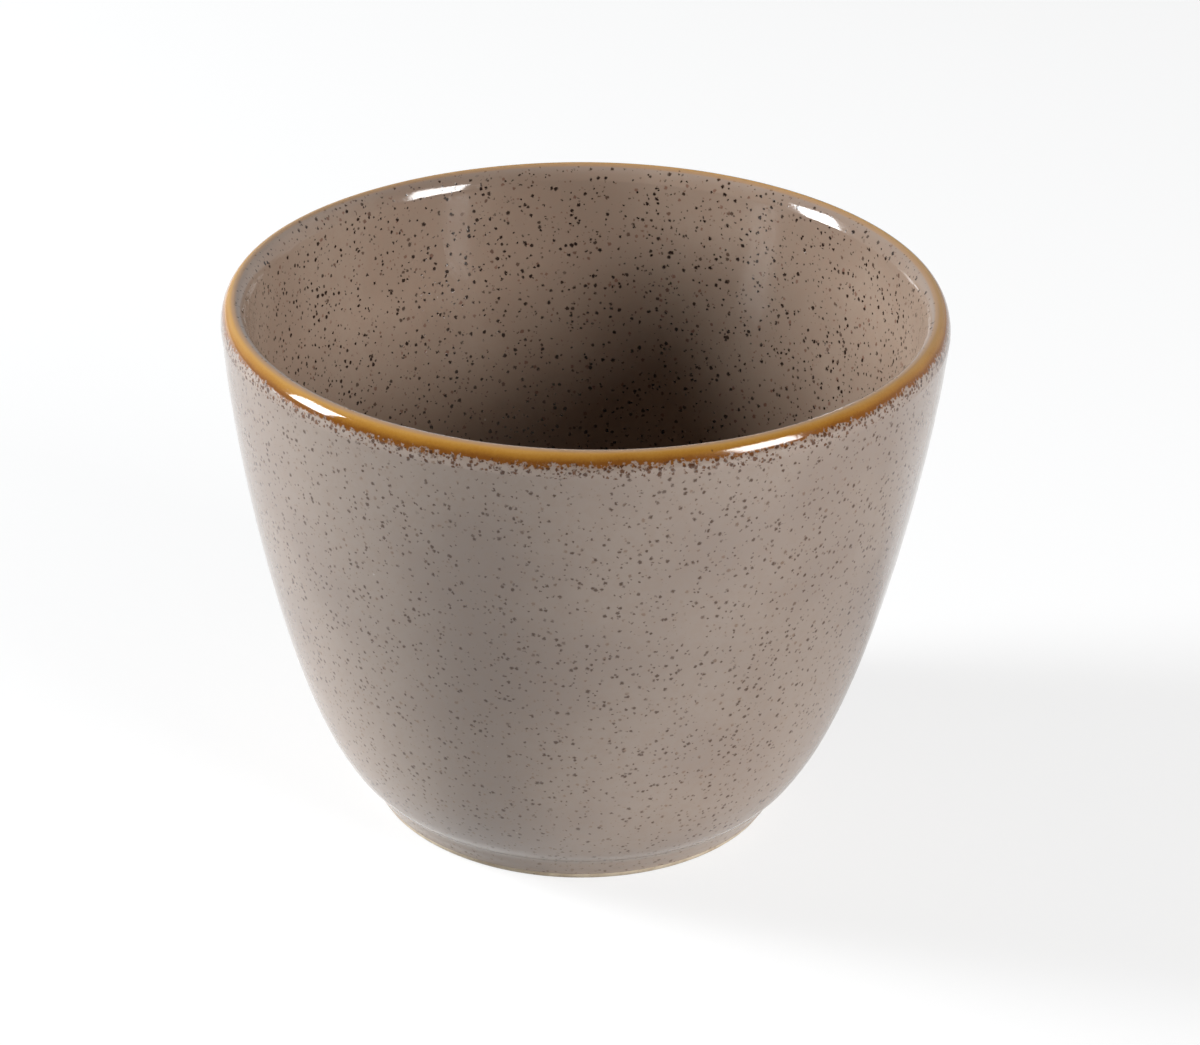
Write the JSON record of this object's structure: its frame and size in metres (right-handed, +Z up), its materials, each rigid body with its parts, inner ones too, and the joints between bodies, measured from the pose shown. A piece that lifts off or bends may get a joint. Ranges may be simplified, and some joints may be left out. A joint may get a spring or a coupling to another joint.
{
  "type": "handleless stoneware cup",
  "caption": "Handleless stoneware cup with a deep tapered bowl, a thick rounded rim and a low foot ring, coated in speckled grey glaze that breaks to amber at the rim; holds a hot drink",
  "frame": {"origin": "on the table, under the cup's axis, in the plane of the foot ring's flat", "axes": "+Z up along the cup's axis; the cup is a body of revolution, so +X and +Y are free"},
  "size_m": [0.091, 0.091, 0.0695],
  "materials": {
    "bare_clay": "unglazed fired stoneware, pale buff and slightly gritty",
    "grey_glaze": "warm grey satin-gloss glaze with fine brown and black iron specks",
    "amber_glaze": "glossy honey amber glaze where the coat runs thin over the rim, darkening to brown at its feathered lower edge"
  },
  "bodies": {
    "root": {"clay_body": "bare_clay", "outer_glaze": "grey_glaze", "rim_glaze": "amber_glaze", "inner_glaze": "grey_glaze", "base_glaze": "grey_glaze"}
  },
  "joints": []
}
